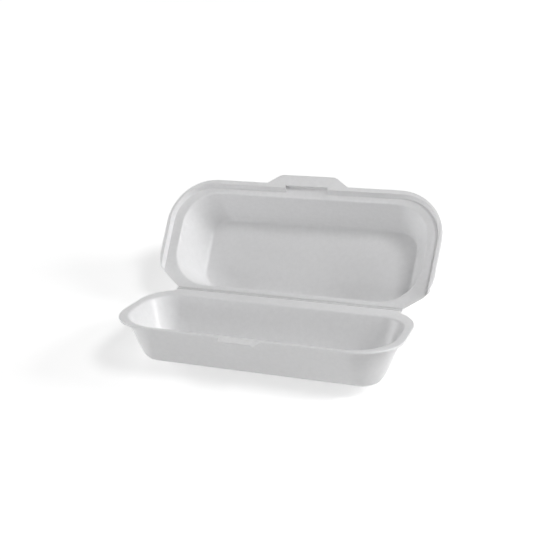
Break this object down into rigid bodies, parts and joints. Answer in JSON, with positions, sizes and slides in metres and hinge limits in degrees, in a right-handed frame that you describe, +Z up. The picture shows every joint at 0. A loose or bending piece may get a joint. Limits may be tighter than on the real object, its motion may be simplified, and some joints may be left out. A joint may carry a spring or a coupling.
{
  "type": "foam clamshell container",
  "caption": "Long foam takeaway box, a tray and a deeper-skirted lid joined by a living hinge, with a front tab, slot and catch; empty and open.",
  "frame": {"origin": "on the ground, under the middle of the open box's bounding box", "axes": "+X along the hinge, +Y from the tray's front to the lid behind it, +Z up"},
  "size_m": [0.2258, 0.1678, 0.0794],
  "materials": {
    "foam": "soft satin foam skin"
  },
  "bodies": {
    "tray": {"tray": "foam"},
    "lid": {"lid": "foam"}
  },
  "joints": [
    {"name": "lid_hinge", "type": "hinge", "parent": "tray", "child": "lid", "pos_m": [0, 0.00238, 0.02151], "axis": [-1, 0, 0], "range_deg": [-127.9, 52]}
  ]
}
